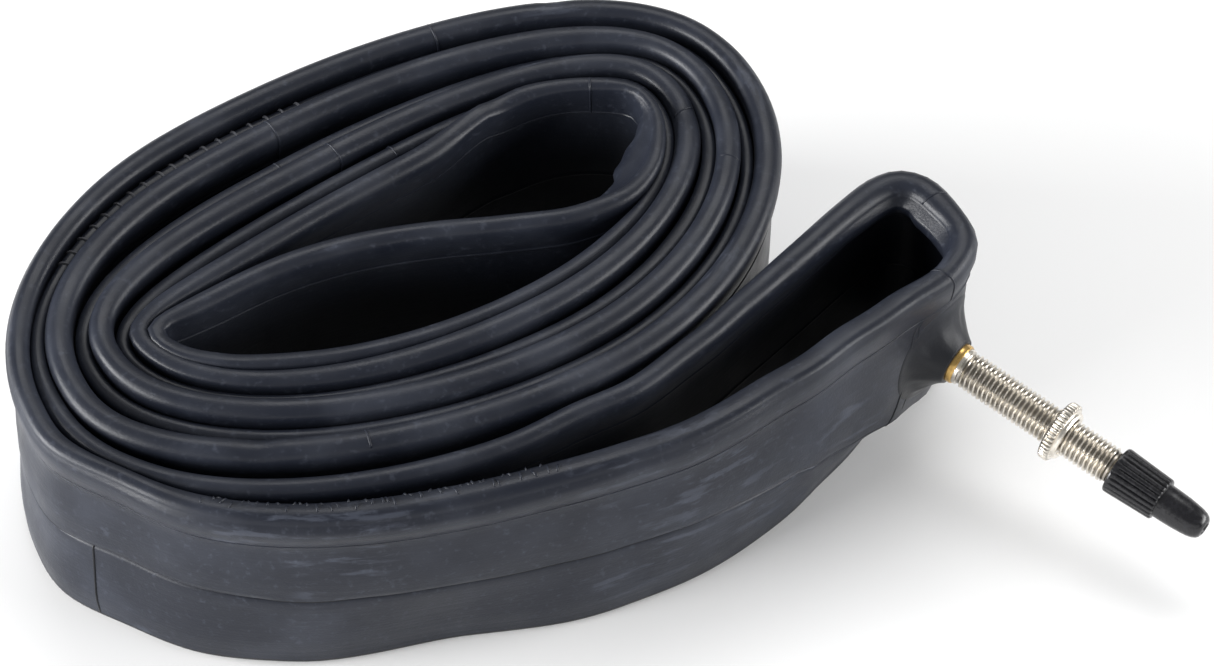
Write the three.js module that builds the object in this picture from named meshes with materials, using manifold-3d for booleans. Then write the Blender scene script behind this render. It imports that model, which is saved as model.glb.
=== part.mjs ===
// A bicycle inner tube, deflated, folded double and rolled up for storage, with its Presta valve.
// The empty tube is a flat two-wall strip that stands on its edge. The strip is one closed ring:
// strand P runs from the valve inwards, turns back at the heart of the roll, and strand Q runs
// outwards beside it to the valve again. Millimetres, +Z up, standing on z = 0.
import * as THREE from 'three';
import Module from 'manifold-3d';
import { mergeVertices } from 'three/addons/utils/BufferGeometryUtils.js';

// ---- driving dimensions ----
const FLAT_WIDTH = 35; // the empty tube's width, which is the standing strip's height
const WALL = 0.95; // one rubber wall
const STRIP_STEP = 4; // length of one straight piece of the strip's outline
const CENTRE_SHIFT = new THREE.Vector2(-0.881, -17.075); // brings the roll and valve over the origin

// ---- the roll: wraps 1 (outermost) to 8 (innermost) round an oval ----
// A wrap is four quarter ovals. Each joins two stops, where the strip runs square to an axis of
// the oval. reach is a stop's distance from the heart, drift its offset along the other axis.
const HEART = new THREE.Vector2(-21.4, 28.7);
const OVAL_TURN = THREE.MathUtils.degToRad(37);
const LEFT = { reach: [74.6, 71, 66.9, 62.6, 59.8, 56.8, 54, 51.2], drift: [-4, -3, -1, 1, 2, 3, 4, 4] };
const BACK = { reach: [35.2, 31.9, 27.9, 21.6, 18.8, 13.8, 10], drift: [-25, -25, -25, -22, -20, -12, 0] };
const RIGHT = { reach: [48.6, 45.9, 43.2, 40.4, 37.7, 34.6], drift: [0, 0, 0, 0, 0, 0] };
const FRONT = { reach: [47, 45.2, 39.6, 36.6, 32.9, 29.8, 25.2, 21.9], drift: [0, 0, 0, 0, 0, 0, 0, 0] };
// how full each quarter is: 2 is a true ellipse, more is squarer, less is leaner
const FULL_LEFT_BACK = [2.1, 2.15, 2.3, 2.7, 2.9, 3, 3];
const FULL_BACK_RIGHT = [2.1, 2.1, 2.15, 2.25, 2.3, 2.2];
const FULL_RIGHT_FRONT = [2, 2, 2, 2, 2, 2];
const FULL_FRONT_LEFT = [1.9, 1.88, 1.76, 1.78, 1.76, 1.8, 1.9, 1.9];
const POINTS_PER_QUARTER = 8;

// ---- the two stretches that are not wound, by hand ----
const VALVE_LOOP_P = [
  [50.4, 21], [47.1, 15.8], [43.4, 11.4], [39.6, 7], [32.8, -0.6], [26.6, -7.4], [13.2, -17.6],
  [1.8, -22.6], [-9, -26.2], [-20, -29.4], [-33, -32], [-46, -32.6], [-58, -30.6], [-68.5, -25.4],
];
const VALVE_LOOP_Q = [
  [13.5, 0.6], [20.5, 8], [28.5, 16.6], [36.2, 25.2], [40.9, 29.6], [44, 30.8], [47.2, 29.6],
  [49.4, 25.8],
];
const HEART_TURN = [
  [-21, 40.6], [-15, 44.6], [-8.5, 47.6], [-2, 48.6], [3, 47.6], [5.2, 44.5], [6.2, 40],
  [5.8, 34.5], [3, 29.6], [-2.5, 26], [-8, 23.6], [-16, 22], [-24, 21], [-32, 19.6],
  [-40, 17.4], [-48, 14], [-55.5, 9.4], [-61, 5.2],
];

// ---- the valve, measured along its axis from the boot's lip ----
const LIP = new THREE.Vector3(52.4, 9, 17.5); // the middle of the boot's lip
const VALVE_HEADING = THREE.MathUtils.degToRad(-37.4);
const VALVE_DROOP = THREE.MathUtils.degToRad(7.5);
const GAP = 0.3; // clearance between touching pieces
const STEM = { radius: 2.9, end: 28.6, bore: 1.5, seat: 20.2, socket: 2.2, flange: 4.3, foot: -5.2 };
const BOOT = { base: 6.4, lip: 4.2, back: -5.4 };
const PATCH = { along: 7.5, up: 9, thick: 0.6, hole: 2, wall: -7.4 }; // wall: the strip's outer face
const BARREL = { radius: 1.9, foot: 22, shoulder: 28.9, head: 2.6, end: 34.6, bore: 1.25 };
const PIN = { radius: 0.6, foot: 17, footRadius: 1.15, tip: 0.9, tipStart: 35.2, end: 38.8 };
const TIP_NUT = { radius: 1.9, bore: 1.2, start: 35, end: 37.6 };
const RIM_NUT = { teeth: 36, crest: 4.85, root: 4.6, start: 17.9, knurled: 1.8, boss: 4, end: 20.4 };
const CAP = { base: 3.7, ribbed: 3.35, shoulder: 2.75, tip: 2.3, start: 28.9, step: 37.1, end: 44.7 };
const ROUND = 32; // sides on a round piece
const SMALL_ROUND = 20; // sides on the small pieces inside the valve

// ---- materials ----
const butyl = new THREE.MeshStandardMaterial({ color: 0x3b3f47, roughness: 0.55, metalness: 0 });
const nickel = new THREE.MeshStandardMaterial({ color: 0xc9c5bd, roughness: 0.25, metalness: 1 });
const brass = new THREE.MeshStandardMaterial({ color: 0xb08d4c, roughness: 0.35, metalness: 1 });
const sealRubber = new THREE.MeshStandardMaterial({ color: 0x1b1b1d, roughness: 0.7, metalness: 0 });
const plastic = new THREE.MeshStandardMaterial({ color: 0x18191b, roughness: 0.4, metalness: 0 });

const wasm = await Module();
wasm.setup();

function toSolid(geometry) {
  const bare = geometry.clone();
  for (const name of ['normal', 'uv']) bare.deleteAttribute(name);
  const merged = mergeVertices(bare);
  return new wasm.Manifold(new wasm.Mesh({
    numProp: 3,
    vertProperties: new Float32Array(merged.attributes.position.array),
    triVerts: new Uint32Array(merged.index.array),
  }));
}

function toGeometry(solid) {
  const { vertProperties, triVerts } = solid.getMesh();
  const geometry = new THREE.BufferGeometry();
  geometry.setAttribute('position', new THREE.BufferAttribute(vertProperties, 3));
  geometry.setIndex(new THREE.BufferAttribute(triVerts, 1));
  geometry.computeVertexNormals();
  return geometry;
}

function piece(name, geometry, material) {
  const mesh = new THREE.Mesh(geometry, material);
  mesh.name = name;
  return mesh;
}

// ---- the strip's route ----
function stop(side, wrap) {
  const reach = side.reach[wrap - 1];
  const drift = side.drift[wrap - 1];
  if (side === LEFT) return { side, wrap, x: -reach, y: drift };
  if (side === RIGHT) return { side, wrap, x: reach, y: drift };
  return { side, wrap, x: drift, y: side === BACK ? reach : -reach };
}

function fullness(a, b) {
  const pair = [a.side, b.side];
  const wrap = Math.min(a.wrap, b.wrap);
  if (pair.includes(LEFT)) return (pair.includes(BACK) ? FULL_LEFT_BACK : FULL_FRONT_LEFT)[a.wrap - 1];
  return (pair.includes(BACK) ? FULL_BACK_RIGHT : FULL_RIGHT_FRONT)[wrap - 1];
}

function quarterOval(a, b) {
  const alongAxis = a.side === FRONT || a.side === BACK;
  const corner = alongAxis ? { x: a.x, y: b.y } : { x: b.x, y: a.y };
  const power = 2 / fullness(a, b);
  const points = [];
  for (let i = 0; i < POINTS_PER_QUARTER; i++) {
    const turn = (Math.PI / 2) * (i / POINTS_PER_QUARTER);
    const p = Math.cos(turn) ** power;
    const q = Math.sin(turn) ** power;
    const x = corner.x + (a.x - corner.x) * p + (b.x - corner.x) * q;
    const y = corner.y + (a.y - corner.y) * p + (b.y - corner.y) * q;
    points.push(new THREE.Vector2(x, y).rotateAround(new THREE.Vector2(), OVAL_TURN).add(HEART));
  }
  return points;
}

function wound(stops) {
  const points = [];
  for (let i = 0; i + 1 < stops.length; i++) points.push(...quarterOval(stops[i], stops[i + 1]));
  return points;
}

function byHand(list) {
  return list.map(([x, y]) => new THREE.Vector2(x, y));
}

function routeOfStrip() {
  const inwards = [];
  for (const wrap of [1, 3, 5]) {
    inwards.push(stop(LEFT, wrap), stop(BACK, wrap), stop(RIGHT, wrap), stop(FRONT, wrap + 2));
  }
  inwards.push(stop(LEFT, 7), stop(BACK, 7));
  const outwards = [stop(LEFT, 8), stop(FRONT, 8)];
  for (const wrap of [6, 4, 2]) {
    outwards.push(stop(RIGHT, wrap), stop(BACK, wrap), stop(LEFT, wrap), stop(FRONT, wrap));
  }
  const points = [
    ...byHand(VALVE_LOOP_P), ...wound(inwards), ...byHand(HEART_TURN), ...wound(outwards),
    ...byHand(VALVE_LOOP_Q),
  ].map((p) => new THREE.Vector3(p.x + CENTRE_SHIFT.x, p.y + CENTRE_SHIFT.y, 0));
  return new THREE.CatmullRomCurve3(points, true, 'centripetal');
}

// ---- the tube ----
function tubeBody(valve) {
  const route = routeOfStrip();
  const steps = Math.round(route.getLength() / STRIP_STEP);
  route.arcLengthDivisions = steps * 4;
  const sides = [-WALL, WALL].map(() => []);
  for (let i = 0; i < steps; i++) {
    const p = route.getPointAt(i / steps);
    const t = route.getTangentAt(i / steps);
    sides[0].push(new THREE.Vector2(p.x - t.y * WALL, p.y + t.x * WALL));
    sides[1].push(new THREE.Vector2(p.x + t.y * WALL, p.y - t.x * WALL));
  }
  const areas = sides.map((points) => Math.abs(THREE.ShapeUtils.area(points)));
  const outer = areas[0] > areas[1] ? 0 : 1;
  const shape = new THREE.Shape(sides[outer]);
  shape.holes.push(new THREE.Path(sides[1 - outer].reverse()));
  const strip = new THREE.ExtrudeGeometry(shape, { depth: FLAT_WIDTH, bevelEnabled: false });
  const airHole = new THREE.CylinderGeometry(STEM.bore, STEM.bore, 2 * WALL, SMALL_ROUND);
  airHole.rotateX(Math.PI / 2).translate(0, 0, PATCH.wall);
  airHole.applyMatrix4(valve.level);
  return piece('tube_body', toGeometry(toSolid(strip).subtract(toSolid(airHole))), butyl);
}

// ---- round pieces on the valve's axis: profile points are [radius, distance along the axis] ----
function turned(profile, sides = ROUND) {
  const points = profile.map(([radius, along]) => new THREE.Vector2(radius, along));
  return new THREE.LatheGeometry(points, sides).rotateX(Math.PI / 2);
}

// a ring's profile: its outside from foot to end, then its inside back to the foot
function turnedRing(profile, sides = ROUND) {
  return turned([...profile, profile[0]], sides);
}

function valvePatch() {
  const oval = new THREE.Shape().absellipse(0, 0, PATCH.along, PATCH.up, 0, 2 * Math.PI);
  oval.holes.push(new THREE.Path().absarc(0, 0, PATCH.hole, 0, 2 * Math.PI, true));
  const plate = new THREE.ExtrudeGeometry(oval, { depth: PATCH.thick, bevelEnabled: false, curveSegments: 16 });
  return piece('valve_patch', plate, butyl);
}

function valveBoot() {
  const pocket = STEM.flange + GAP;
  const ceiling = STEM.foot + 1 + GAP;
  return piece('valve_boot', turnedRing([
    [BOOT.base, BOOT.back], [BOOT.base, BOOT.back + 0.7], [BOOT.lip + 0.3, -0.8], [BOOT.lip, 0],
    [STEM.radius + GAP, 0], [STEM.radius + GAP, ceiling], [pocket, ceiling], [pocket, BOOT.back],
  ]), butyl);
}

function valveStem() {
  const { radius, end, bore, seat, socket, flange, foot } = STEM;
  return piece('valve_stem', turnedRing([
    [flange, foot], [flange, foot + 1], [radius, foot + 1], [radius, end - 0.5], [radius - 0.4, end],
    [socket, end], [socket, seat], [bore, seat], [bore, foot],
  ]), nickel);
}

function coreBarrel() {
  const { radius, foot, shoulder, head, end, bore } = BARREL;
  return piece('core_barrel', turnedRing([
    [radius, foot], [radius, shoulder], [head, shoulder], [head, end - 0.4], [head - 0.4, end],
    [bore, end], [bore, foot],
  ], SMALL_ROUND), nickel);
}

function coreWasher() {
  const start = STEM.seat + GAP;
  const end = BARREL.foot - GAP;
  return piece('core_washer', turnedRing([
    [BARREL.radius, start], [BARREL.radius, end], [BARREL.bore, end], [BARREL.bore, start],
  ], SMALL_ROUND), sealRubber);
}

function corePin() {
  const { radius, foot, footRadius, tip, tipStart, end } = PIN;
  return piece('core_pin', turned([
    [0, foot], [footRadius, foot], [footRadius, foot + 0.6], [radius, foot + 0.6], [radius, tipStart],
    [tip, tipStart], [tip, end - 0.3], [tip - 0.3, end], [0, end],
  ], SMALL_ROUND), brass);
}

function pinSeal() {
  const start = PIN.foot + 0.6 + GAP;
  const end = STEM.seat - 0.1;
  const hole = PIN.radius + GAP - 0.1;
  return piece('pin_seal', turnedRing([
    [1.2, start], [1.2, start + 1.2], [1, end], [hole, end], [hole, start],
  ], SMALL_ROUND), sealRubber);
}

function tipNut() {
  const { radius, bore, start, end } = TIP_NUT;
  return piece('tip_nut', turnedRing([
    [radius - 0.3, start], [radius, start + 0.3], [radius, end - 0.3], [radius - 0.3, end],
    [bore, end], [bore, start],
  ], SMALL_ROUND), nickel);
}

function rimNut() {
  const { teeth, crest, root, start, knurled, boss, end } = RIM_NUT;
  const outline = new THREE.Shape();
  for (let i = 0; i < 2 * teeth; i++) {
    const radius = i % 2 ? root : crest;
    const angle = (Math.PI * i) / teeth;
    const point = [radius * Math.cos(angle), radius * Math.sin(angle)];
    if (i) outline.lineTo(...point);
    else outline.moveTo(...point);
  }
  outline.holes.push(new THREE.Path().absarc(0, 0, STEM.radius + GAP, 0, 2 * Math.PI, true));
  const ring = new THREE.ExtrudeGeometry(outline, { depth: knurled, bevelEnabled: false, curveSegments: 16 });
  ring.translate(0, 0, start);
  const inner = STEM.radius + GAP + 0.01;
  const collar = turnedRing([
    [boss, start + knurled / 2], [boss, end - 0.3], [boss - 0.3, end], [inner, end],
    [inner, start + knurled / 2],
  ]);
  return piece('rim_nut', toGeometry(toSolid(ring).add(toSolid(collar))), nickel);
}

function dustCap() {
  const { base, ribbed, shoulder, tip, start, step, end } = CAP;
  const inside = BARREL.head + GAP;
  const nutRoom = TIP_NUT.radius + 0.4;
  const ceiling = PIN.end + 0.6;
  return piece('dust_cap', turned([
    [0, ceiling], [nutRoom, ceiling], [nutRoom, BARREL.end + 1], [inside, BARREL.end + 0.4],
    [inside, start], [base, start], [ribbed, step], [shoulder, step + 0.3], [tip, end - 1.5],
    [tip - 0.4, end - 0.5], [tip - 1.1, end], [0, end],
  ]), plastic);
}

// ---- the valve's place: its pieces are built along +Z and turned onto its axis ----
function valvePlace() {
  const lip = new THREE.Vector3(LIP.x + CENTRE_SHIFT.x, LIP.y + CENTRE_SHIFT.y, LIP.z);
  const heading = new THREE.Vector3(Math.cos(VALVE_HEADING), Math.sin(VALVE_HEADING), 0);
  const upright = new THREE.Vector3(0, 0, 1);
  const level = new THREE.Matrix4().makeBasis(upright.clone().cross(heading), upright, heading);
  level.setPosition(lip);
  const droop = new THREE.Matrix4().makeRotationX(VALVE_DROOP);
  return { level, axis: level.clone().multiply(droop) };
}

function placed(matrix, pieces) {
  const group = new THREE.Group();
  group.applyMatrix4(matrix);
  group.add(...pieces);
  return group;
}

const valve = valvePlace();
const patchPlace = valve.level.clone();
patchPlace.multiply(new THREE.Matrix4().makeTranslation(0, 0, PATCH.wall + GAP));

const innerTube = new THREE.Group();
innerTube.add(
  tubeBody(valve),
  placed(patchPlace, [valvePatch()]),
  placed(valve.axis, [
    valveBoot(), valveStem(), coreBarrel(), coreWasher(), corePin(), pinSeal(), tipNut(), rimNut(),
    dustCap(),
  ]),
);

export default innerTube;
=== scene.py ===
# A bicycle inner tube, rolled up, with its valve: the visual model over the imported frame.
import math

import bmesh
import bpy
import numpy as np
from mathutils import Matrix, Vector
from mathutils.bvhtree import BVHTree


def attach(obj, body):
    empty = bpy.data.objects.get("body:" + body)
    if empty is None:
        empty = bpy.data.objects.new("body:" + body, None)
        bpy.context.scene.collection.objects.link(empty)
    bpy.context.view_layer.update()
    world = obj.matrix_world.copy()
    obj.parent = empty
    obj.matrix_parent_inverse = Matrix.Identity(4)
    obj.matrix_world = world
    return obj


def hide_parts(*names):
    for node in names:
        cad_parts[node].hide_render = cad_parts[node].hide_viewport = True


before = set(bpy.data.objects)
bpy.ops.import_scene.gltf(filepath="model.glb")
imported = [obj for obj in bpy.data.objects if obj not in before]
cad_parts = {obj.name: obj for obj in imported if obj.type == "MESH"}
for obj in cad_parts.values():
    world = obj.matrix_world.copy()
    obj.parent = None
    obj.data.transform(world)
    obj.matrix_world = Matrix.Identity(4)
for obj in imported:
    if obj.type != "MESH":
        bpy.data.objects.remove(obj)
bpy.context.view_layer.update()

MM = 0.001

# ---- driving dimensions, in millimetres ----
FLAT_WIDTH = 35.0
HALF_STRIP = 0.95
SHIFT = np.array([-0.881, -17.075])  # from the roll's own plan to the frame

# ---- the roll's route: the same stops and listed points as the frame's ----
HEART = np.array([-21.4, 28.7])
OVAL_TURN = math.radians(37)
REACH = {
    "L": [74.6, 71, 66.9, 62.6, 59.8, 56.8, 54, 51.2],
    "B": [35.2, 31.9, 27.9, 21.6, 18.8, 13.8, 10],
    "R": [48.6, 45.9, 43.2, 40.4, 37.7, 34.6],
    "F": [47, 45.2, 39.6, 36.6, 32.9, 29.8, 25.2, 21.9],
}
DRIFT = {
    "L": [-4, -3, -1, 1, 2, 3, 4, 4],
    "B": [-25, -25, -25, -22, -20, -12, 0],
    "R": [0, 0, 0, 0, 0, 0],
    "F": [0, 0, 0, 0, 0, 0, 0, 0],
}
FULLNESS = {
    "LB": [2.1, 2.15, 2.3, 2.7, 2.9, 3, 3],
    "BR": [2.1, 2.1, 2.15, 2.25, 2.3, 2.2],
    "FR": [2, 2, 2, 2, 2, 2],
    "FL": [1.9, 1.88, 1.76, 1.78, 1.76, 1.8, 1.9, 1.9],
}
POINTS_PER_QUARTER = 8
POINTS_PER_SPAN = 40
STATION_STEP = 1.5  # spacing of the strip's stations along the route
VALVE_LOOP_P = [
    (50.4, 21), (47.1, 15.8), (43.4, 11.4), (39.6, 7), (32.8, -0.6), (26.6, -7.4), (13.2, -17.6),
    (1.8, -22.6), (-9, -26.2), (-20, -29.4), (-33, -32), (-46, -32.6), (-58, -30.6), (-68.5, -25.4),
]
VALVE_LOOP_Q = [
    (13.5, 0.6), (20.5, 8), (28.5, 16.6), (36.2, 25.2), (40.9, 29.6), (44, 30.8), (47.2, 29.6),
    (49.4, 25.8),
]
HEART_TURN = [
    (-21, 40.6), (-15, 44.6), (-8.5, 47.6), (-2, 48.6), (3, 47.6), (5.2, 44.5), (6.2, 40),
    (5.8, 34.5), (3, 29.6), (-2.5, 26), (-8, 23.6), (-16, 22), (-24, 21), (-32, 19.6),
    (-40, 17.4), (-48, 14), (-55.5, 9.4), (-61, 5.2),
]

# ---- the valve ----
LIP = (52.4 + SHIFT[0], 9 + SHIFT[1], 17.5)
VALVE_HEADING = math.radians(-37.4)
VALVE_DROOP = math.radians(7.5)
STEM_THREAD = (2.95, 0.42)  # crest radius and depth
STEM_PITCH = 0.8
TIP_PITCH = 0.4
BOOT_LIP = 3.75  # radius of the boot's lip
PATCH_REACH = 9.5  # radius of the round patch under the boot
BOOT_SIDES = 96

# ---- the view ----
LENS = 117.13344
SENSOR = 36.0
CAMERA_TILT = math.radians(50)
CAMERA_REACH = 0.5725  # metres from the camera to its target
LIT_SPOT = Vector((0, 0, 0.02))  # where every lamp points, in metres


# ---------------------------------------------------------------- route of the strip
def stop(name):
    side, wrap = name[0], int(name[1])
    reach, drift = REACH[side][wrap - 1], DRIFT[side][wrap - 1]
    return {
        "L": np.array([-reach, drift]), "R": np.array([reach, drift]),
        "B": np.array([drift, reach]), "F": np.array([drift, -reach]),
    }[side]


def fullness(a, b):
    pair = "".join(sorted(a[0] + b[0]))
    key = {"BL": "LB", "BR": "BR", "FR": "FR", "FL": "FL"}[pair]
    wrap = int(a[1]) if "L" in pair else min(int(a[1]), int(b[1]))
    return FULLNESS[key][wrap - 1]


def quarter_oval(a, b):
    start, end = stop(a), stop(b)
    corner = np.array([start[0], end[1]]) if a[0] in "FB" else np.array([end[0], start[1]])
    power = 2 / fullness(a, b)
    turn = np.arange(POINTS_PER_QUARTER) / POINTS_PER_QUARTER * math.pi / 2
    p, q = np.cos(turn)[:, None] ** power, np.sin(turn)[:, None] ** power
    local = corner + (start - corner) * p + (end - corner) * q
    c, s = math.cos(OVAL_TURN), math.sin(OVAL_TURN)
    return HEART + local @ np.array([[c, s], [-s, c]])


def route_points():
    """The closed route's control points, and the name of the stop that starts each quarter."""
    inwards = "L1 B1 R1 F3 L3 B3 R3 F5 L5 B5 R5 F7 L7 B7".split()
    outwards = "L8 F8 R6 B6 L6 F6 R4 B4 L4 F4 R2 B2 L2 F2".split()
    points, names = [], {}

    def add_listed(name, listed):
        for i, point in enumerate(listed):
            names[f"{name}{i}"] = len(points)
            points.append(np.array(point, float))

    def wound(stops):
        for a, b in zip(stops, stops[1:]):
            names[a] = len(points)
            points.extend(quarter_oval(a, b))

    add_listed("Q", VALVE_LOOP_Q)
    add_listed("P", VALVE_LOOP_P)
    wound(inwards)
    add_listed("H", HEART_TURN)
    wound(outwards)
    return np.array(points), names


def catmull_rom(points, per_span):
    """Points along the closed centripetal Catmull-Rom curve, per_span for each span."""
    p0, p1 = np.roll(points, 1, 0), points
    p2, p3 = np.roll(points, -1, 0), np.roll(points, -2, 0)
    gap = lambda a, b: np.sqrt(np.linalg.norm(b - a, axis=1))[:, None]
    d0, d1, d2 = gap(p0, p1), gap(p1, p2), gap(p2, p3)
    t1 = ((p1 - p0) / d0 - (p2 - p0) / (d0 + d1) + (p2 - p1) / d1) * d1
    t2 = ((p2 - p1) / d1 - (p3 - p1) / (d1 + d2) + (p3 - p2) / d2) * d1
    out = []
    for u in np.arange(per_span) / per_span:
        u2, u3 = u * u, u * u * u
        out.append((2 * u3 - 3 * u2 + 1) * p1 + (u3 - 2 * u2 + u) * t1
                   + (3 * u2 - 2 * u3) * p2 + (u3 - u2) * t2)
    return np.stack(out, 1).reshape(-1, 2)


class Route:
    """The strip's centreline at even steps: place, left-hand normal, and where each name lies."""

    def __init__(self, step):
        control, names = route_points()
        fine = catmull_rom(control + SHIFT, POINTS_PER_SPAN)
        loop = np.vstack([fine, fine[:1]])
        run = np.r_[0, np.cumsum(np.linalg.norm(np.diff(loop, axis=0), axis=1))]
        self.length = run[-1]
        self.count = int(round(self.length / step))
        self.step = self.length / self.count
        self.s = np.arange(self.count) * self.step
        self.place = np.stack([np.interp(self.s, run, loop[:, k]) for k in (0, 1)], 1)
        ahead, behind = np.roll(self.place, -1, 0), np.roll(self.place, 1, 0)
        tangent = ahead - behind
        tangent /= np.linalg.norm(tangent, axis=1)[:, None]
        normal = np.stack([-tangent[:, 1], tangent[:, 0]], 1)
        soft = np.stack([smooth_ring(normal[:, k], 5) for k in (0, 1)], 1)
        soft /= np.linalg.norm(soft, axis=1)[:, None]
        self.normal = soft
        self.at = {name: run[i * POINTS_PER_SPAN] for name, i in names.items()}

    def keyed(self, keys, wrap=False):
        """A smooth value along the route from (name, distance, value) keys, 0 beyond its ends."""
        marks = [(self.at[name] + along, value) for name, along, value in keys]
        xs = np.array([m[0] for m in marks])
        ys = np.array([m[1] for m in marks], float)
        xs[1:] += self.length * np.cumsum(np.diff(xs) < 0)
        s = self.s
        if wrap:
            s = np.where(s < xs[0], s + self.length, s)
        i = np.clip(np.searchsorted(xs, s, "right") - 1, 0, len(xs) - 2)
        u = np.clip((s - xs[i]) / np.maximum(xs[i + 1] - xs[i], 1e-6), 0, 1)
        value = ys[i] + (ys[i + 1] - ys[i]) * u * u * (3 - 2 * u)
        return np.where((s < xs[0]) | (s > xs[-1]), 0.0, value)


def smooth_ring(values, reach):
    kernel = np.hanning(2 * reach + 3)[1:-1]
    kernel /= kernel.sum()
    padded = np.r_[values[-reach:], values, values[:reach]]
    return np.convolve(padded, kernel, "valid")


def wave(route, seed, length):
    """Smooth closed noise along the route, about -1 to 1, whose swells are about length mm."""
    rng = np.random.default_rng(seed)
    knots = rng.uniform(-1, 1, max(4, int(route.length / length)))
    x = np.linspace(0, route.length, len(knots) + 1)
    raw = np.interp(route.s, x, np.r_[knots, knots[:1]])
    return smooth_ring(raw, max(2, int(length / route.step / 2)))


# ---------------------------------------------------------------- meshes
def new_object(name, verts, faces):
    mesh = bpy.data.meshes.new(name)
    mesh.from_pydata([tuple(v) for v in verts], [], [tuple(f) for f in faces])
    mesh.update()
    mesh.polygons.foreach_set("use_smooth", [True] * len(mesh.polygons))
    obj = bpy.data.objects.new(name, mesh)
    bpy.context.scene.collection.objects.link(obj)
    return obj


def grid_faces(rows, columns, close_rows):
    """Quads over a grid of points whose columns run all the way round."""
    faces = []
    for i in range(rows if close_rows else rows - 1):
        a, b = i * columns, ((i + 1) % rows) * columns
        for j in range(columns):
            k = (j + 1) % columns
            faces.append((a + j, b + j, b + k, a + k))
    return faces


# ---------------------------------------------------------------- the tube
# heights of a wall's points, as shares of the wall, closer together at the crease and the seam
LEVELS = np.array([
    0.0, 0.04, 0.09, 0.15, 0.22, 0.29, 0.35, 0.40, 0.435, 0.452, 0.4605, 0.4635, 0.466, 0.47, 0.474,
    0.4765, 0.4795, 0.488, 0.51, 0.55, 0.60, 0.65, 0.70, 0.75, 0.79, 0.82, 0.838, 0.847, 0.8495, 0.852,
    0.855, 0.858, 0.8605, 0.863, 0.875, 0.892, 0.91, 0.93, 0.95, 0.975, 1.0,
])
# angles round the crest, and round the foot
CAP = np.radians([12, 24, 36, 48, 60, 75, 90, 105, 120, 132, 144, 156, 168])
SEAM = 0.855  # height of the moulded seam line, as a share of the wall
CREASE = 0.47  # height of the pressed crease
# the bands below are coloured near-black on the crease and the seam line: painted shade
CREASE_BAND = 0.01  # half the crease's dark band, as a share of the wall
SEAM_BAND = 0.0052
FOOT = 1.3  # radius of the rounded foot
FOOT_TOP = 4.5  # height where the foot's rounding begins, and how far down it takes
FOOT_REACH = 3.2
CREST_REACH = 6.5  # how far down the crest's extra width fades out
OPEN_ROOM = 9.0  # room beside a strand that has no neighbour
ROLL = 7.2  # how far the rounded roll reaches down from the crest

# small dents in the crest where the strip is kinked: (stop, distance past it, depth)
KINKS = [("H0", 6.5, 0.6), ("R5", 7, 0.5), ("B1", 60, 0.3), ("F3", 55, 0.4)]


def blend01(x):
    x = np.clip(x, 0, 1)
    return x * x * (3 - 2 * x)


def room_beside(route, place, top, side):
    """Half the gap to the next strand over on one side, more beside a lower strand than a higher."""
    room = np.full(route.count, OPEN_ROOM)
    skip = int(14 / route.step)
    index = np.arange(route.count)
    for i in range(route.count):
        off = place - place[i]
        across = off @ route.normal[i] * side
        along = np.abs(off @ np.array([route.normal[i][1], -route.normal[i][0]]))
        ring = np.abs(index - i)
        ring = np.minimum(ring, route.count - ring)
        level = (along < 1.2 * route.step) & (ring > skip)
        near = np.flatnonzero((across > 0.4) & (across < OPEN_ROOM) & level)
        if len(near):
            j = near[across[near].argmin()]
            room[i] = across[j] / 2 + 0.3 * np.clip(top[i] - top[j], -1.6, 1.6)
    return room


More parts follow.
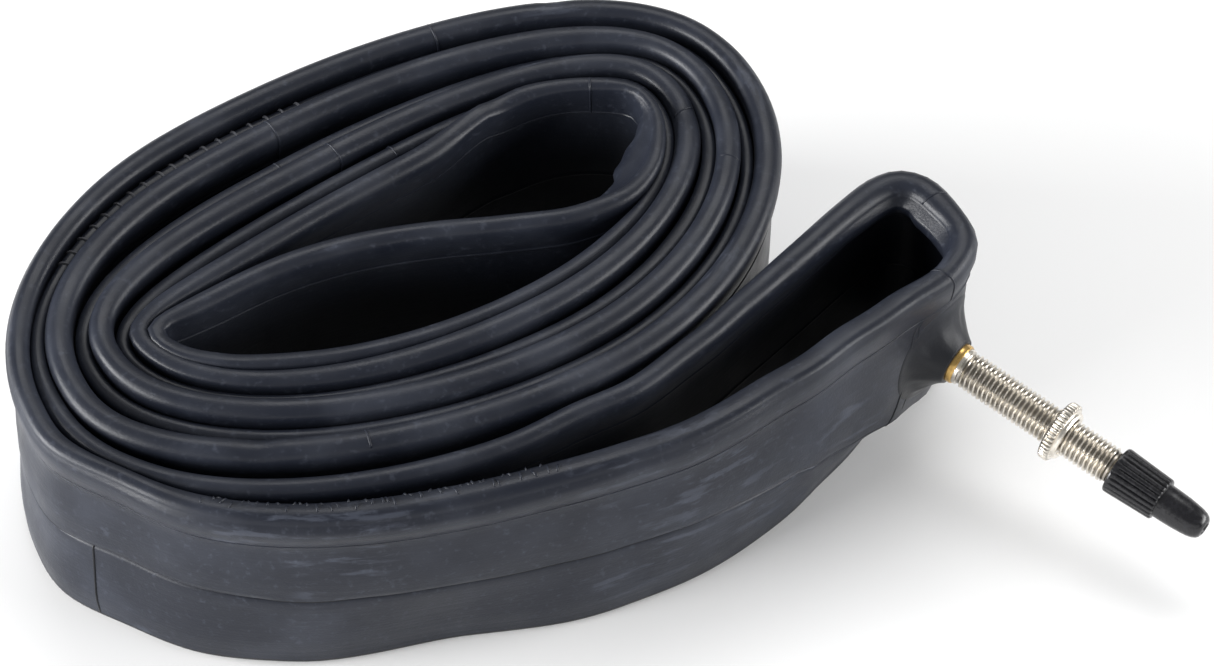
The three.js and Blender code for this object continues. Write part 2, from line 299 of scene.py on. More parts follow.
class Strip:
    """The flat tube's shape at each station of the route."""

    def __init__(self, route):
        self.route = route
        top = FLAT_WIDTH + 0.3 * wave(route, 3, 45) - tube_low(route)
        self.crest = route.normal * (0.2 * wave(route, 5, 40) + tube_lean_top(route))[:, None]
        self.flank = route.normal * tube_lean_loop(route)[:, None]
        self.foot = route.normal * (0.25 * wave(route, 9, 50) + tube_lean_bottom(route))[:, None]
        self.bow = 0.3 * wave(route, 7, 55)
        dent = sum(route.keyed([(name, along - 3, 0), (name, along, depth), (name, along + 5, 0)])
                   for name, along, depth in KINKS)
        width = tube_crest_width(route) * (1 + 0.08 * wave(route, 13, 30))
        self.half = {}
        for side in (1, -1):
            room = room_beside(route, route.place + self.crest + self.flank, top, side)
            if side == 1:
                free = np.minimum(width, np.where(room < 8.9, OPEN_ROOM, tube_outer_width(route)))
            else:
                free = width + tube_inner_slope(route)
            self.half[side] = smooth_ring(np.clip(room, 1.0, free), 4)
        self.roll = {1: tube_roll(route, 1), -1: tube_roll(route, -1)}
        self.crease = tube_crease(route)
        self.drop = tube_crease_drop(route)
        self.ripple = wave(route, 17, 14) + 0.5 * wave(route, 19, 6)
        self.top = top - dent
        self.low = FOOT
        self.high = self.top - np.minimum(self.half[1], self.half[-1])

    def wall(self, f, side):
        """Offset across the strip, offset in plan, and height of a wall's points at share f."""
        z = self.low + (self.high - self.low) * f
        tall = self.high - self.low
        half_top = self.half[side]
        below_crest = np.clip((self.high - z) / CREST_REACH, 0, 1)
        up = 1 - blend01(below_crest)
        down = blend01((FOOT_TOP - z) / FOOT_REACH)
        half = HALF_STRIP + (half_top - HALF_STRIP) * up + (FOOT - HALF_STRIP) * down
        depth = np.clip((self.top - z) / ROLL, 0, 1)
        half = half + self.roll[side] * np.sin(math.pi * np.clip(depth * 1.08 - 0.07, 0, 1)) ** 0.75
        across = side * half + self.bow * 4 * f * (1 - f)
        seam = np.exp(-((f - SEAM) * tall / 0.15) ** 4)
        line = np.exp(-((f - CREASE) * tall / (0.24 + 0.08 * self.ripple)) ** 4)
        if side == -1:
            return across - 0.13 * seam - 0.1 * line, self.plan(f), z
        c = self.crease
        share = f / CREASE if f < CREASE else max(0.0, (0.8 - f) / (0.8 - CREASE))
        z = z - self.drop * share + 0.4 * self.ripple * np.exp(-((f - CREASE) * tall / 4) ** 2)
        upper = blend01((f - CREASE + 0.001) * tall / 0.3) * blend01((SEAM + 0.015 - f) / 0.3)
        lower = blend01((CREASE + 0.002 - f) * tall / 0.9) * blend01(f / 0.12)
        across = across + c * (1.2 * upper + 0.75 * lower - 1.9 * line)
        across = across + (0.2 - 0.9 * np.clip(c, 0, 1)) * seam
        return across, self.plan(f), z

    def plan(self, f):
        upper = self.crest * blend01((f - 0.25) / 0.75) + self.flank * blend01(f / 0.78)
        return upper + self.foot * blend01((0.6 - f) / 0.6)

    def ring(self):
        """Every column of the strip's skin, up one wall, over the crest, down and round the foot."""
        for f in LEVELS:
            yield self.wall(f, 1)
        tall = np.minimum(self.half[1], self.half[-1])
        for a in CAP:
            half = np.where(a < math.pi / 2, self.half[1], self.half[-1])
            yield half * math.cos(a), self.plan(1.0), self.high + tall * math.sin(a)
        for f in LEVELS[::-1]:
            yield self.wall(f, -1)
        for a in CAP:
            yield -FOOT * math.cos(a), self.plan(0.0), self.low - FOOT * math.sin(a)

    def skin(self):
        columns = []
        for across, plan, z in self.ring():
            xy = self.route.place + plan + self.route.normal * (across + np.zeros(self.route.count))[:, None]
            columns.append(np.column_stack([xy, z + np.zeros(self.route.count)]))
        return np.stack(columns, 1)


CREST_COLUMN = len(LEVELS) + len(CAP) // 2


def tube_mesh(route, skin):
    faces = grid_faces(route.count, skin.shape[1], True)
    obj = new_object("inner_tube", skin.reshape(-1, 3) * MM, faces)
    strip_uv(obj, skin, route)
    # painted shade: a near-black colour marked over the bands of the crease and the seam line, as strong as
    # the crease is pressed
    crevice_shade = np.zeros(skin.shape[:2])
    cut = np.clip(tube_crease(route), 0, 1)
    for j, f in enumerate(LEVELS):
        if abs(f - CREASE) < CREASE_BAND or abs(f - SEAM) < SEAM_BAND:
            crevice_shade[:, j] = cut
    layer = obj.data.attributes.new("crevice_shade", "FLOAT", "POINT")
    layer.data.foreach_set("value", crevice_shade.reshape(-1))
    return obj


def rib(route, skin, s, first, last, width, height, slant=0.0):
    """A thin moulded rib across the strip's skin at distance s, over a run of its columns."""
    columns = np.arange(first, last + 1)
    at = s + slant * np.linspace(-0.5, 0.5, len(columns))
    row = at / route.step
    i = np.floor(row).astype(int)
    u = (row - i)[:, None]
    a, b = skin[i % route.count, columns], skin[(i + 1) % route.count, columns]
    spine = a * (1 - u) + b * u
    across = np.gradient(spine, axis=0)
    across /= np.linalg.norm(across, axis=1)[:, None]
    along = b - a
    along /= np.linalg.norm(along, axis=1)[:, None]
    out = np.cross(across, along)
    section = np.array([(-1, -0.6), (-0.6, 0.6), (0, 1), (0.6, 0.6), (1, -0.6)])
    ends = np.sin(np.linspace(0.08, math.pi - 0.08, len(columns))) ** 0.35
    verts = [spine + along * (x * width / 2) + out * ((y * height) * ends)[:, None] for x, y in section]
    return np.stack(verts, 1)


def ribs_object(name, bands):
    verts, faces, start = [], [], 0
    for band in bands:
        rows, columns = band.shape[:2]
        verts.append(band.reshape(-1, 3))
        faces += [tuple(start + k for k in face) for face in grid_faces(rows, columns, False)]
        faces.append(tuple(start + k for k in range(columns))[::-1])
        faces.append(tuple(start + rows * columns - columns + k for k in range(columns)))
        start += rows * columns
    obj = new_object(name, np.concatenate(verts) * MM, faces)
    mesh = bmesh.new()
    mesh.from_mesh(obj.data)
    bmesh.ops.recalc_face_normals(mesh, faces=mesh.faces)
    mesh.to_mesh(obj.data)
    mesh.free()
    return obj


def strip_uv(obj, verts, route):
    """A UV map in metres: u along the strip, v round its section from the left wall's foot."""
    rows, columns = verts.shape[:2]
    around = np.linalg.norm(np.diff(verts, axis=1, append=verts[:, :1]), axis=2).mean(0)
    v = np.r_[0, np.cumsum(around)] * MM
    u = np.r_[route.s, route.length] * MM
    i, j = np.divmod(np.arange(rows * columns), columns)
    uv = np.empty((rows * columns, 4, 2))
    for corner, (di, dj) in enumerate(((0, 0), (1, 0), (1, 1), (0, 1))):
        uv[:, corner, 0], uv[:, corner, 1] = u[i + di], v[j + dj]
    layer = obj.data.uv_layers.new(name="strip")
    layer.data.foreach_set("uv", uv.reshape(-1))


def tube_low(route):
    """How far each stretch's crest lies below the highest ones, in mm."""
    return route.keyed([
        ("L8", 0, 0), ("F8", 0, 0.6), ("R6", 0, 1.8), ("B6", 0, 1.6), ("L6", 0, 2.0), ("F6", 0, 2.0),
        ("R4", 0, 2.2), ("B4", 0, 2.0), ("L4", 0, 2.4), ("F4", 0, 2.4), ("R2", 0, 2.6), ("B2", -20, 3.2),
        ("B2", 20, 2.6), ("L2", 0, 1.0), ("Q0", 0, 0.8), ("Q1", 0, 0.4), ("Q2", 0, 0),
    ], wrap=True)


def tube_lean_top(route):
    """How far the crest stands out to the left of the strip's middle."""
    s_bend = route.keyed([("L2", 64, 0), ("L2", 77, 1), ("L2", 88, -0.6), ("L2", 99, 0)])
    eye_end = route.keyed([("H16", 4, 0), ("H17", 3, -0.9), ("L8", 4, -1.8), ("L8", 10, -0.9),
                           ("L8", 20, 0)])
    heart = route.keyed([("H0", -8, 0), ("H0", 5, 2.5), ("H4", -2, 1.6), ("H4", 2, 2), ("H7", 0, 1.2),
                         ("H9", 0, 1), ("H10", 4, 0)])
    return smooth_ring(s_bend + eye_end + heart, 3)


def tube_lean_loop(route):
    """How far the valve loop's upper half stands out to the left of the strip's middle."""
    lean = route.keyed([("Q6", 0, 0), ("P0", -3, 1), ("P0", 3, 3.8), ("P1", 0, 4.4), ("P3", 0, 2.9),
                        ("P4", 0, 1.5), ("P5", 5, 0)])
    return smooth_ring(lean, 2)


def tube_lean_bottom(route):
    """How far the foot stands out to the left of the strip's middle."""
    lean = route.keyed([("P0", 0, 0), ("P2", 0, -2.6), ("P3", 6, -1.3), ("P6", 0, -0.4), ("P7", 6, 0.4),
                        ("P9", 4, -1.8), ("P11", 0, 0), ("P13", 0, 1.4), ("L1", 5, 1.4), ("B1", 0, 0)])
    return smooth_ring(lean, 3)


def tube_crest_width(route):
    """Half width the rounded crest is free to take: fuller on the odd wraps than on the even."""
    return route.keyed([
        ("Q0", 0, 1.8), ("Q3", 0, 2.2), ("Q5", 0, 2.6), ("P0", 0, 2.4), ("P1", 0, 1.9), ("P5", 0, 2.3),
        ("L1", 0, 2.3), ("L7", 0, 2.1), ("H0", 0, 2.0), ("H3", 0, 1.5), ("H4", 2, 0.8), ("H5", 2, 1.2),
        ("H7", 0, 1.7), ("H9", 0, 1.8), ("L8", 0, 1.7), ("R6", 0, 1.6), ("L2", 0, 1.5), ("L2", 60, 1.8),
        ("Q0", 0, 1.8),
    ])


def tube_inner_slope(route):
    """Extra half width where the crest of the outer stretch slopes off to the inside of the loop."""
    return route.keyed([("P1", 0, 0), ("P3", 0, 0.7), ("P6", 0, 0.8), ("P9", 0, 0.3), ("P12", 0, 0)])


def tube_outer_width(route):
    """Half width on the outside of the outermost wrap, where no neighbour presses on the crest."""
    return route.keyed([
        ("Q0", 0, 2), ("Q5", 0, 2.5), ("P0", 0, 2.2), ("P3", 0, 1.5), ("P6", 0, 1.5), ("P9", 0, 1.9),
        ("L1", 0, 1.5), ("L1", 30, 1.5), ("B1", -10, 2.2), ("R1", 0, 2.3), ("F3", 0, 2), ("L2", 90, 2),
    ])


def tube_roll(route, side):
    """Extra half width of the fat roll under the crest, where the strip is bent sharply."""
    if side == 1:
        return route.keyed([("P3", 0, 0), ("P4", 0, 0.3), ("P6", 0, 0.7), ("P9", 0, 0.9), ("P12", 0, 0.8),
                            ("L1", 0, 0.4), ("B1", 0, 0.3), ("R1", 0, 0)])
    loop = route.keyed([("Q2", 0, 0), ("Q4", 0, 0.9), ("Q6", 0, 1.5), ("Q7", 0, 2.1), ("P0", 0, 2.4),
                        ("P0", 4.5, 0)])
    heart = route.keyed([("H4", 0, 0), ("H4", 2.5, 0.5), ("H5", 2, 2.4), ("H6", 2, 4.0), ("H7", 2, 4.4),
                         ("H8", 0, 2.6), ("H9", 0, 0)])
    return loop + heart


def tube_marks(route, skin):
    """The small moulded marks on the skin: cross seams, a ladder of rungs and ticks on the crests."""
    rng = np.random.default_rng(4)
    crest = CREST_COLUMN
    bands = [
        rib(route, skin, route.at[name] + along, crest + first, crest + last, 0.42, height, slant)
        for name, along, first, last, height, slant in (
            ("B1", 41, -3, 14, 0.16, 0.8), ("B3", 9, -4, 16, 0.2, 0.6), ("R4", 68, -3, 4, 0.2, 0.3),
            ("B5", 9, -4, 15, 0.2, 0.8), ("R6", 43, -4, 9, 0.2, 0.4), ("H2", 6, -3, 18, 0.14, 0.2),
            ("R5", 7, -4, 4, 0.25, 1.2), ("P1", 1.5, -14, 5, 0.16, 1.0), ("Q7", -1.5, -3, 5, 0.14, -0.6),
            ("F3", 40.0, -4, 4, 0.14, 0.4), ("R3", 21.0, -5, 3, 0.12, -0.4),
        )
    ]
    bands.append(rib(route, skin, route.at["P13"] + 5.5, 0, 11, 0.45, 0.2, 0.3))
    for along, first, last, width, height, slant in (
        (9.5, 12, 30, 0.5, 0.16, -9.0), (12.0, 6, 16, 0.5, 0.16, 6.0), (7.0, 18, 30, 0.35, 0.12, -3.0),
    ):
        bands.append(rib(route, skin, route.at["P1"] + along, first, last, width, height, slant))
    ticks = []
    for k in range(18):
        s = route.at["R2"] + 68 + 2.8 * k + rng.uniform(-0.25, 0.25)
        ticks.append(rib(route, skin, s, crest - 6, crest + 5 + k % 2, 0.5, 0.34, rng.uniform(0.2, 0.7)))
    s = route.at["P7"] + 9
    while s < route.at["P12"]:
        first = crest + int(rng.integers(0, 4))
        bands.append(rib(route, skin, s, first, first + int(rng.integers(2, 4)), rng.uniform(0.3, 0.5),
                         rng.uniform(0.15, 0.35), rng.uniform(-0.6, 0.6)))
        s += rng.uniform(0.5, 1.7)
    return ribs_object("moulded_seams", bands), ribs_object("moulded_rungs", ticks)


def tube_crease_drop(route):
    """How far the crease runs below its usual height, as it sinks to the foot near the valve."""
    return route.keyed([("P0", 0, 0), ("P1", 3, 10), ("P2", 3, 9.5), ("P3", 6, 7), ("P4", 5, 4.5),
                        ("P5", 0, 3.0), ("P6", 0, 1.2), ("P7", 0, 0)])


def tube_crease(route):
    """Depth of the lengthwise crease pressed into the outer wall."""
    return route.keyed([("P1", 2, 0), ("P3", 0, 0.7), ("P5", 0, 1.0), ("P12", 0, 1.0), ("L1", 0, 1.0),
                        ("B1", -40, 0.5), ("B1", 0, 0)])


# ---------------------------------------------------------------- the valve
def valve_place():
    """The valve's own frame: +Z along its axis, from the boot's lip outwards."""
    heading = Vector((math.cos(VALVE_HEADING), math.sin(VALVE_HEADING), 0))
    up = Vector((0, 0, 1))
    level = Matrix((up.cross(heading), up, heading)).transposed().to_4x4()
    level.translation = Vector(LIP) * MM
    return level @ Matrix.Rotation(VALVE_DROOP, 4, "X")


def on_axis(name, rows, sharp=35):
    """A turned piece from rows of radii: each row is (radius or radii round the axis, along)."""
    columns = max(np.size(radius) for radius, along in rows)
    columns = 64 if columns == 1 else columns
    turn = np.arange(columns) / columns * 2 * math.pi
    verts = []
    for radius, along in rows:
        radius = np.zeros(columns) + radius
        along = np.zeros(columns) + along
        verts.append(np.column_stack([radius * np.cos(turn), radius * np.sin(turn), along]))
    verts = np.concatenate(verts)
    obj = new_object(name, verts * MM, grid_faces(len(rows), columns, True))
    finish_piece(obj, sharp)
    return obj


def finish_piece(obj, sharp):
    mesh = bmesh.new()
    mesh.from_mesh(obj.data)
    bmesh.ops.remove_doubles(mesh, verts=mesh.verts, dist=1e-7)
    bmesh.ops.dissolve_degenerate(mesh, edges=mesh.edges, dist=1e-7)
    bmesh.ops.recalc_face_normals(mesh, faces=mesh.faces)
    mesh.to_mesh(obj.data)
    mesh.free()
    obj.data.set_sharp_from_angle(angle=math.radians(sharp))
    obj.data.transform(valve_place())


def mark_grooves(obj, shallow, deep, least=0.0):
    """Stores how deep each point lies in the grooves, 0 at the shallow radius and 1 at the deep one, for the
    painted shade that darkens them.

    Points nearer the axis than least aren't in a groove."""
    spots = np.empty(len(obj.data.vertices) * 3)
    obj.data.vertices.foreach_get("co", spots)
    spots = spots.reshape(-1, 3) / MM
    axis = valve_place().inverted()
    turn = np.array(axis.to_3x3())
    local = spots @ turn.T + np.array(axis.translation) / MM
    radius = np.hypot(local[:, 0], local[:, 1])
    layer = obj.data.attributes.new("groove", "FLOAT", "POINT")
    depth = np.clip((shallow - radius) / (shallow - deep), 0, 1)
    layer.data.foreach_set("value", np.where(radius < least, 0.0, depth))
    return obj


def thread(turn, along, crest, depth, pitch=STEM_PITCH):
    phase = (along / pitch - turn / (2 * math.pi)) % 1.0
    tooth = np.clip(np.abs(2 * phase - 1) * 1.5 - 0.2, 0, 1)
    return crest - depth * blend01(tooth)


def valve_stem():
    turn = np.arange(64) / 64 * 2 * math.pi
    rows = [(1.5, -5.0), (4.2, -5.0), (4.2, -4.2), (2.9, -4.1), (2.95, -0.6), (2.95, 1.55), (2.7, 1.65),
            (2.55, 1.9)]
    for along in np.arange(2.0, 28.0, 0.1):
        fade = min(1, (along - 1.9) / 0.5)
        rows.append((thread(turn, along, *STEM_THREAD) * fade + 2.55 * (1 - fade), along))
    rows += [(2.5, 28.1), (2.5, 28.45), (2.35, 28.6), (2.05, 28.6), (1.95, 28.3), (1.95, 20.4), (1.5, 20.3)]
    return mark_grooves(on_axis("valve_stem_threaded", rows), 2.9, 2.6)


def brass_collar():
    rows = [(3.0, -0.7), (3.2, -0.6), (3.25, 0.0), (3.25, 0.75), (3.15, 0.95), (3.0, 1.0)]
    return on_axis("valve_collar", rows)


def lock_nut():
    teeth, columns = 40, 320
    turn = np.arange(columns) / columns * 2 * math.pi
    knurl = 0.3 * np.abs(np.sin(turn * teeth / 2)) ** 0.8
    crest = 4.53 + knurl
    rows = [(3.2, 17.9), (4.2, 17.9), (4.55, 18.0), (crest - 0.12, 18.15), (crest, 18.3), (crest, 19.3),
            (crest - 0.05, 19.48), (4.55, 19.62), (4.25, 19.7), (4.0, 19.72), (3.95, 19.8), (3.95, 20.15),
            (3.75, 20.4), (3.3, 20.4), (3.1, 20.2)]
    for along in np.arange(20.0, 18.1, -0.1):
        rows.append((thread(turn, along, 3.35, -0.25) - 0.25, along))
    return mark_grooves(on_axis("lock_nut", rows), 4.8, 4.5, 4.4)


def dust_cap():
    ribs, columns = 24, 192
    turn = np.arange(columns) / columns * 2 * math.pi
    groove = np.clip(np.cos(turn * ribs) * 1.6 - 0.7, 0, 0.9) / 0.9
    rows = [(0.0, 39.4), (2.2, 39.4), (2.3, 39.2), (2.3, 35.6), (2.75, 35.0), (2.75, 29.3), (3.05, 28.95),
            (3.3, 28.9), (3.6, 28.95), (3.7, 29.15)]
    for along in np.linspace(29.3, 36.85, 12):
        share = (along - 28.9) / 8.2
        depth = 0.24 * blend01((along - 29.2) / 0.5)
        rows.append((3.72 - 0.36 * share - depth * groove, along))
    rows += [(3.3 - 0.2 * groove, 37.0), (3.15 - 0.1 * groove, 37.12), (2.8, 37.18), (2.74, 37.4),
             (2.72, 38.6), (2.64, 40.4), (2.5, 41.9), (2.36, 42.95), (2.15, 43.72), (1.85, 44.25),
             (1.5, 44.55), (1.15, 44.68), (1.0, 44.6), (0.9, 44.45), (0.0, 44.42)]
    return on_axis("dust_cap_ribbed", rows, sharp=50)


def core_barrel():
    columns = 64
    turn = np.arange(columns) / columns * 2 * math.pi
    flats = np.minimum(2.55, 2.15 / np.maximum(np.abs(np.cos(turn)), 1e-3))
    rows = [(1.25, 22.0), (1.9, 22.0), (1.9, 28.9), (2.5, 28.95), (2.58, 29.1)]
    rows += [(2.58, 30.4), (2.5, 30.6), (flats, 30.7), (flats, 33.0), (2.2, 33.2), (2.1, 34.3), (1.9, 34.6),
             (1.4, 34.6), (1.25, 34.4)]
    return on_axis("core_barrel_turned", rows)


def tip_nut():
    columns, teeth = 144, 24
    turn = np.arange(columns) / columns * 2 * math.pi
    crest = 1.78 + 0.12 * np.abs(np.sin(turn * teeth / 2))
    rows = [(1.2, 35.0), (1.6, 35.0), (crest - 0.1, 35.15), (crest, 35.3), (crest, 37.3),
            (crest - 0.1, 37.45), (1.6, 37.6), (1.2, 37.6)]
    return on_axis("tip_nut_knurled", rows)


def core_pin():
    turn = np.arange(48) / 48 * 2 * math.pi
    rows = [(0.0, 17.0), (1.15, 17.0), (1.15, 17.6), (0.6, 17.65), (0.6, 35.1)]
    for along in np.arange(35.2, 38.5, 0.05):
        rows.append((thread(turn, along, 0.95, 0.12, TIP_PITCH), along))
    rows += [(0.85, 38.6), (0.6, 38.8), (0.0, 38.8)]
    return on_axis("core_pin_turned", rows)


# ---------------------------------------------------------------- the boot
def valve_boot(tube):
    """A cone of rubber that flares from the valve's lip onto the tube's wall, with its round patch."""
    mesh = bmesh.new()
    mesh.from_mesh(tube.data)
    tree = BVHTree.FromBMesh(mesh)
    mesh.free()
    place = valve_place()
    away = (place.to_3x3() @ Vector((0, 0, -1))).normalized()
    turn = np.arange(BOOT_SIDES) / BOOT_SIDES * 2 * math.pi
    rows = [np.column_stack([r * np.cos(turn), r * np.sin(turn), along + 0 * turn])
            for r, along in ((3.0, -3.0), (3.0, -0.25), (3.15, 0.0), (3.5, 0.0))]
    for t in np.linspace(0, 1, 22) ** 1.15:
        radius = BOOT_LIP + (PATCH_REACH - BOOT_LIP) * t
        cone = max(0.0, (9.0 - radius) / (9.0 - BOOT_LIP)) ** 2.3
        row = []
        for k in range(BOOT_SIDES):
            x, y = radius * math.cos(turn[k]), radius * math.sin(turn[k])
            hit = tree.ray_cast(place @ (Vector((x, y, 1.0)) * MM), away, 0.02)
            along = 1.0 - hit[3] / MM if hit[0] else -9.5
            along = min(along, -0.4)
            folds = (0.35 * math.sin(5 * turn[k] + 0.8) + 0.28 * math.sin(9 * turn[k] + 2.0 + 3 * t)
                     + 0.16 * math.sin(17 * turn[k] + 6 * t))
            along += folds * math.sin(math.pi * min(1.0, t * 1.4)) * 0.7
            skin = 0.35 * blend01((1 - t) / 0.08) - 0.25
            row.append((x, y, along + skin + (-0.1 - along) * cone))
        rows.append(np.array(row))
    relax_rows(rows, 5)
    verts = np.concatenate(rows)
    obj = new_object("valve_boot_flared", verts * MM, grid_faces(len(rows), BOOT_SIDES, False))
    obj.data.transform(place)
    return obj


def relax_rows(rows, first):
    """Smooths the heights of the rows from first on, so that no fold of the wall shows through."""
    for _ in range(4):
        heights = np.array([row[:, 2] for row in rows])
        for i in range(first, len(rows) - 1):
            near = (heights[i - 1] + heights[i + 1] + np.roll(heights[i], 1) + np.roll(heights[i], -1)) / 4
            rows[i][:, 2] = np.maximum(heights[i], near)


# ---------------------------------------------------------------- materials
class Look:
    """A new material, and short calls that add nodes to it and give back the socket they end in."""

    def __init__(self, name):
        self.material = bpy.data.materials.new(name)
        self.material.use_nodes = True
        self.nodes = self.material.node_tree.nodes
        self.links = self.material.node_tree.links
        self.shader = self.nodes["Principled BSDF"]

    def put(self, value, socket):
        """Links another node's socket, or sets a number or colour."""
        if isinstance(value, bpy.types.NodeSocket):
            self.links.new(value, socket)
        else:
            socket.default_value = value

    def fill(self, node, **values):
        for key, value in values.items():
            self.put(value, node.inputs[key.replace("_", " ")])

    def place(self):
        return self.nodes.new("ShaderNodeTexCoord").outputs["Object"]

    def noise(self, scale, detail, vector, roughness=0.5):
        node = self.nodes.new("ShaderNodeTexNoise")
        self.fill(node, Scale=scale, Detail=detail, Roughness=roughness, Vector=vector)
        return node.outputs["Fac"]

    def ramp(self, value, low, high, dark=0.0, light=1.0, kind="LINEAR"):
        node = self.nodes.new("ShaderNodeMapRange")
        node.interpolation_type = kind
        self.fill(node, Value=value, From_Min=low, From_Max=high, To_Min=dark, To_Max=light)
        return node.outputs["Result"]

    def combine(self, kind, a, b):
        node = self.nodes.new("ShaderNodeMath")
        node.operation = kind
        self.put(a, node.inputs[0])
        self.put(b, node.inputs[1])
        return node.outputs["Value"]

    def mix(self, share, a, b):
        node = self.nodes.new("ShaderNodeMix")
        node.data_type = "RGBA"
        self.fill(node, Factor=share, A=a, B=b)
        return node.outputs["Result"]

    def stored(self, name):
        node = self.nodes.new("ShaderNodeAttribute")
        node.attribute_name = name
        return node.outputs["Fac"]

    def split(self, vector):
        node = self.nodes.new("ShaderNodeSeparateXYZ")
        self.put(vector, node.inputs[0])
        return node.outputs

    def bump(self, height, strength, distance):
        node = self.nodes.new("ShaderNodeBump")
        self.fill(node, Strength=strength, Distance=distance, Height=height)
        self.put(node.outputs["Normal"], self.shader.inputs["Normal"])


def rubber_material(name="butyl_rubber", dust=1.0, roughness=0.39, tone=(1, 1, 1)):
    look = Look(name)
    times = lambda a, b: look.combine("MULTIPLY", a, b)
    plus = lambda a, b: look.combine("ADD", a, b)
    toned = lambda colour: (*(c * t for c, t in zip(colour, tone)), 1)
    place = look.place()

    def noise(scale, detail, vector, rough=0.55):
        return look.noise(scale, detail, vector, rough)

    def ramp(value, low, high, dark=0.0, light=1.0):
        return look.ramp(value, low, high, dark, light, "SMOOTHSTEP")

    def stretched(along, around):
        strip = look.nodes.new("ShaderNodeUVMap")
        strip.uv_map = "strip"
        scale = look.nodes.new("ShaderNodeVectorMath")
        scale.operation = "MULTIPLY"
        look.put(strip.outputs["UV"], scale.inputs[0])
        look.put((along, around, 1), scale.inputs[1])
        return scale.outputs["Vector"]

    # where the tube lies open to the air: the outer wall of its outermost stretch, and every crest; the dust
    # lies only here, and here the base colour is lighter, while the walls deep between the wraps and low
    # down get a darker one: painted light and shade
    strip = look.split(stretched(1, 1))
    along, around = strip["X"], strip["Y"]
    stretch = times(ramp(along, 0.05, 0.08), ramp(along, 0.36, 0.42, 1, 0))
    outer = times(ramp(around, 0.034, 0.038, 1, 0), stretch)
    exposed_dust_and_light = look.combine("MAXIMUM", outer, ramp(look.split(place)["Z"], 0.019, 0.032))

    # talc, wear and slanting scuffs
    clouds = ramp(noise(55, 4, place), 0.42, 0.72)
    specks = ramp(noise(900, 3, place), 0.55, 0.8)
    streaks = ramp(noise(1.0, 5, stretched(45, 260), 0.65), 0.52, 0.75)
    wipes = ramp(noise(1.0, 4, stretched(20, 90), 0.6), 0.56, 0.74)
    turned = look.nodes.new("ShaderNodeMapping")
    look.fill(turned, Rotation=(0, 0, math.radians(20)), Scale=(90, 520, 1), Vector=stretched(1, 1))
    scuffs = ramp(noise(1.0, 5, turned.outputs["Vector"], 0.6), 0.53, 0.64)
    patches = ramp(noise(38, 3, place), 0.50, 0.60)
    bloom = plus(times(clouds, 0.14 * dust), times(specks, 0.2 * dust))
    marks = times(times(streaks, wipes), 0.85 * dust)
    rubbed = times(times(scuffs, patches), times(outer, 0.27 * dust))
    chalk = plus(times(plus(bloom, marks), exposed_dust_and_light), rubbed)

    # painted shade: the crease and the seam line are coloured near-black, and made rougher
    crevice_shade = look.stored("crevice_shade")
    # painted shade and light: a darker base colour on the walls deep between the wraps and low down, a
    # lighter one on the open outer wall and the crests
    base = look.mix(exposed_dust_and_light, toned((0.005, 0.006, 0.009)), toned((0.0115, 0.0138, 0.0215)))
    dusty = look.mix(chalk, base, (0.105, 0.118, 0.155, 1))
    shaded = look.mix(crevice_shade, dusty, (0.001, 0.001, 0.0015, 1))
    dull = ramp(noise(120, 5, place), 0.3, 0.7, roughness - 0.07, roughness + 0.07)
    dull = plus(plus(dull, times(chalk, 0.25)), times(crevice_shade, 0.6))
    look.fill(look.shader, Base_Color=shaded, Roughness=dull, Specular_IOR_Level=0.28)
    grain = plus(noise(2600, 3, place), times(noise(1.0, 4, stretched(60, 1500)), 1.2))
    look.bump(grain, 0.35, 0.00008)
    return look.material


def metal_material(name, colour, dark, roughness):
    look = Look(name)
    stain = look.noise(700, 4, look.place())
    worn = look.mix(look.ramp(stain, 0.5, 0.75, 0, 0.7), (*colour, 1), (*dark, 1))
    # painted shade: the thread and knurl grooves are coloured darker, the deeper the darker
    groove_shade = look.combine("MULTIPLY", look.stored("groove"), 0.68)
    groove_shaded = look.mix(groove_shade, worn, (*(0.3 * c for c in dark), 1))
    gloss = look.ramp(stain, 0.3, 0.7, roughness, roughness + 0.14)
    look.fill(look.shader, Metallic=1.0, Base_Color=groove_shaded, Roughness=gloss)
    return look.material


def plastic_material(name, colour, roughness):
    look = Look(name)
    grain = look.noise(1400, 3, look.place())
    worn = (*(3.0 * c for c in colour), 1)
    tint = look.mix(look.ramp(grain, 0.55, 0.8, 0, 0.6), (*colour, 1), worn)
    gloss = look.ramp(grain, 0.3, 0.7, roughness - 0.06, roughness + 0.1)
    look.fill(look.shader, Base_Color=tint, Roughness=gloss)
    look.bump(grain, 0.25, 0.00005)
    return look.material


# ---------------------------------------------------------------- stage
def stage():
    bpy.ops.mesh.primitive_plane_add(size=6, location=(0, 0, -0.0002))
    floor = bpy.context.object
    floor.name = "floor"
    pale = Look("pale_floor")
    pale.fill(pale.shader, Base_Color=(0.94, 0.94, 0.94, 1), Roughness=0.9)
    floor.data.materials.append(pale.material)
    world = bpy.data.worlds.new("studio")
    bpy.context.scene.world = world
    world.use_nodes = True
    background = world.node_tree.nodes["Background"]
    background.inputs["Color"].default_value = (1, 1, 1, 1)
    background.inputs["Strength"].default_value = 0.30
    bpy.context.scene.view_settings.view_transform = "Standard"

    def area(name, place, size, power):
        lamp = bpy.data.lights.new(name, "AREA")
        lamp.shape = "RECTANGLE"
        lamp.size, lamp.size_y = size
        lamp.energy = power
        obj = bpy.data.objects.new(name, lamp)
        obj.location = place
        obj.rotation_euler = (LIT_SPOT - Vector(place)).to_track_quat("-Z", "Y").to_euler()
        bpy.context.scene.collection.objects.link(obj)

    area("left", (-0.95, -0.25, 0.27), (0.9, 0.35), 22)
    area("right", (0.95, -0.05, 0.30), (0.9, 0.35), 10)
    area("front", (0.0, -1.1, 0.30), (1.4, 0.35), 1.5)
    area("back", (0.1, 0.6, 0.9), (0.9, 0.45), 5)


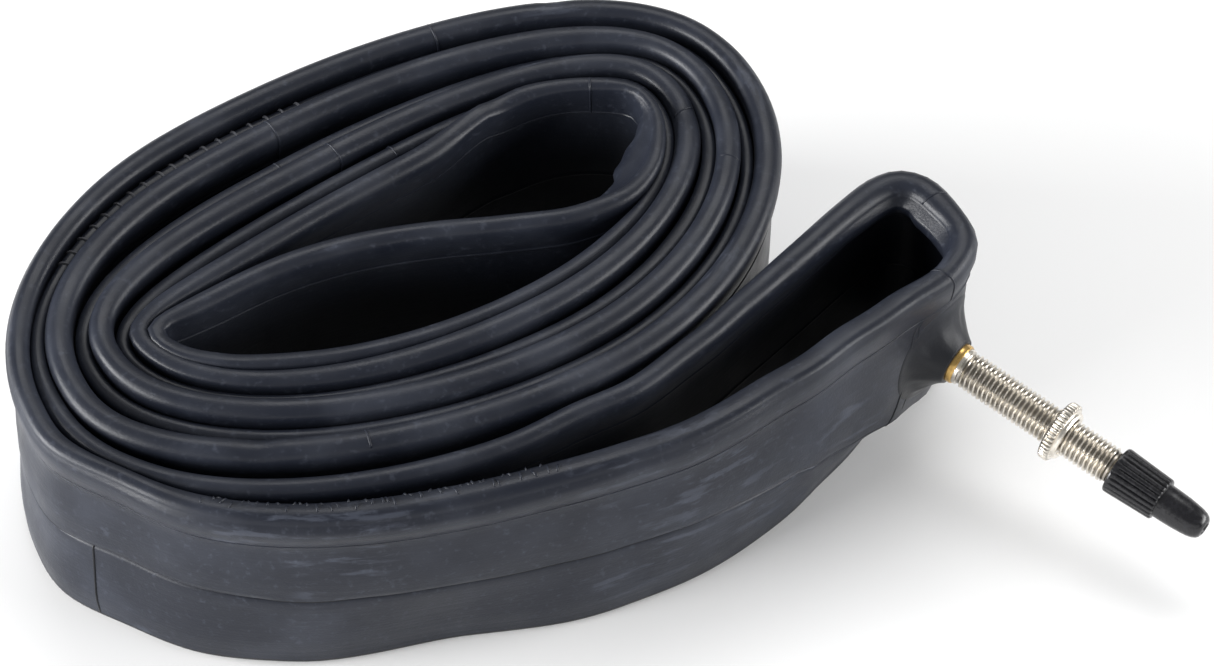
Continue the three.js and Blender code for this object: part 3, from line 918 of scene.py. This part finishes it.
def camera():
    data = bpy.data.cameras.new("camera")
    data.sensor_width = SENSOR
    data.sensor_fit = "HORIZONTAL"
    data.lens = LENS
    data.clip_start = 0.01
    obj = bpy.data.objects.new("camera", data)
    target = Vector((SHIFT[0], SHIFT[1], FLAT_WIDTH)) * MM
    away = Vector((0, -math.cos(CAMERA_TILT), math.sin(CAMERA_TILT)))
    obj.location = target + away * CAMERA_REACH
    obj.rotation_euler = (target - obj.location).to_track_quat("-Z", "Y").to_euler()
    bpy.context.scene.collection.objects.link(obj)
    bpy.context.scene.camera = obj


# ---------------------------------------------------------------- assembly
camera()
stage()
route = Route(STATION_STEP)
skin = Strip(route).skin()
tube = tube_mesh(route, skin)
seams, rungs = tube_marks(route, skin)
boot = valve_boot(tube)

rubber = rubber_material()
boot_rubber = rubber_material("boot_rubber", 0.7, 0.42)
# a much paler rubber for the ladder of rungs
pale_rubber = rubber_material("pale_rung_rubber", 1.0, 0.45, (7.0, 6.0, 4.4))
nickel = metal_material("nickel_plate", (0.86, 0.81, 0.73), (0.56, 0.50, 0.41), 0.22)
brass = metal_material("turned_brass", (0.66, 0.43, 0.15), (0.30, 0.18, 0.06), 0.22)
black_plastic = plastic_material("black_plastic", (0.006, 0.006, 0.008), 0.25)
seal = plastic_material("seal_rubber", (0.01, 0.01, 0.01), 0.6)


def dress(piece, body, mat, slot, *nodes):
    piece.data.materials.clear()
    piece.data.materials.append(mat)
    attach(piece, body)
    if nodes:
        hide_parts(*nodes)


dress(tube, "tube", rubber, "butyl", "tube_body")
dress(seams, "tube", boot_rubber, "butyl")
dress(rungs, "tube", pale_rubber, "butyl")
dress(boot, "tube", boot_rubber, "butyl", "valve_boot", "valve_patch")
dress(valve_stem(), "tube", nickel, "nickel", "valve_stem")
dress(brass_collar(), "tube", brass, "brass")
dress(core_barrel(), "tube", nickel, "nickel", "core_barrel")
dress(lock_nut(), "rim_nut", nickel, "nickel", "rim_nut")
dress(dust_cap(), "cap", black_plastic, "plastic", "dust_cap")
dress(tip_nut(), "tip_nut", nickel, "nickel", "tip_nut")
dress(core_pin(), "pin", brass, "brass", "core_pin")
for node in ("core_washer", "pin_seal"):
    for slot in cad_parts[node].material_slots:
        slot.material = seal
